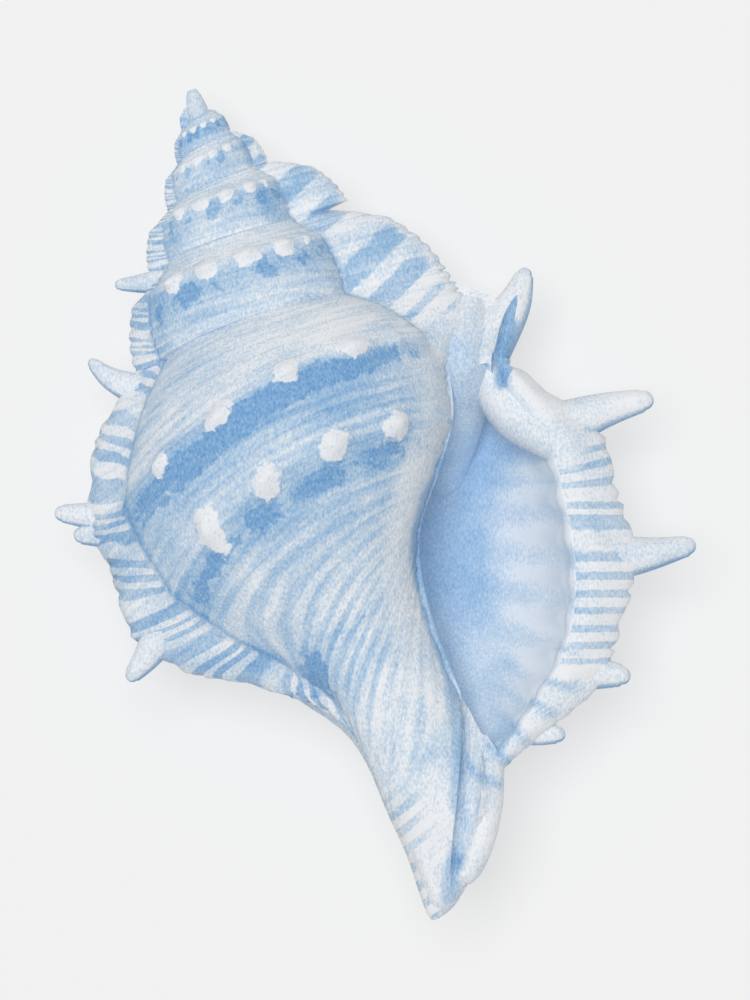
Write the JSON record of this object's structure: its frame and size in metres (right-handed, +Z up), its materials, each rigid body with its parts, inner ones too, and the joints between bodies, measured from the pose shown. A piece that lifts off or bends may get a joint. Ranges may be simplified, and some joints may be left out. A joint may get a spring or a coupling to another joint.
{
  "type": "conch shell",
  "caption": "Spiny frog shell lying on its back, mouth up, with a stepped conical spire, ribbed side flanges, a flared lip with curved spines and an open siphon canal.",
  "frame": {"origin": "middle of the shell's outline in plan, on the surface that it lies on", "axes": "+Z up, out of the mouth; +Y towards the tip of the spire; +X towards the lip and its spines"},
  "size_m": [0.0644, 0.0836, 0.0314],
  "materials": {
    "shell": "matte chalky shell in white and pale to mid blue bands, with a satin glaze in the mouth"
  },
  "bodies": {
    "root": {"shell": "shell"}
  },
  "joints": []
}
